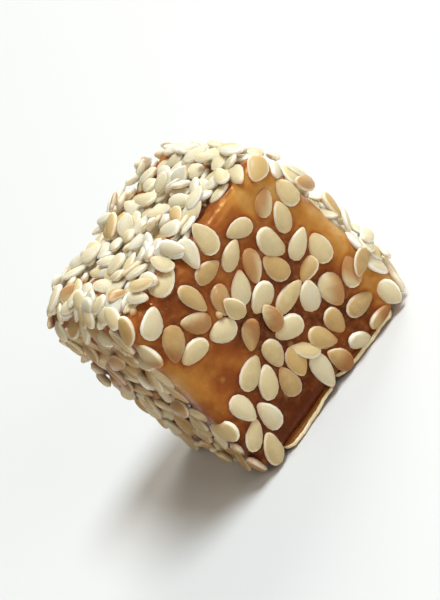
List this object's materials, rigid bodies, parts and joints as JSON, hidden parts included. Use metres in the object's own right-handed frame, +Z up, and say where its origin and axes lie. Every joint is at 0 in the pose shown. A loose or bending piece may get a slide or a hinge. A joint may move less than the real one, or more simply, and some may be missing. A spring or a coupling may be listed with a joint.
{
  "type": "nougat",
  "caption": "Bite-sized cube of hard caramel nougat coated in sesame seeds, thinly on one side and thickly on the others.",
  "frame": {"origin": "middle of the underside, on the surface that the cube stands on", "axes": "+X along the longest side, -Y towards the thinly coated side with the bare patches, +Z up"},
  "size_m": [0.0208, 0.0197, 0.0187],
  "materials": {
    "caramel": "glossy amber caramel with a coat of matte cream sesame seeds",
    "sesame": "matte cream to toasted hulled sesame"
  },
  "bodies": {
    "root": {"nougat": "caramel"}
  },
  "joints": []
}
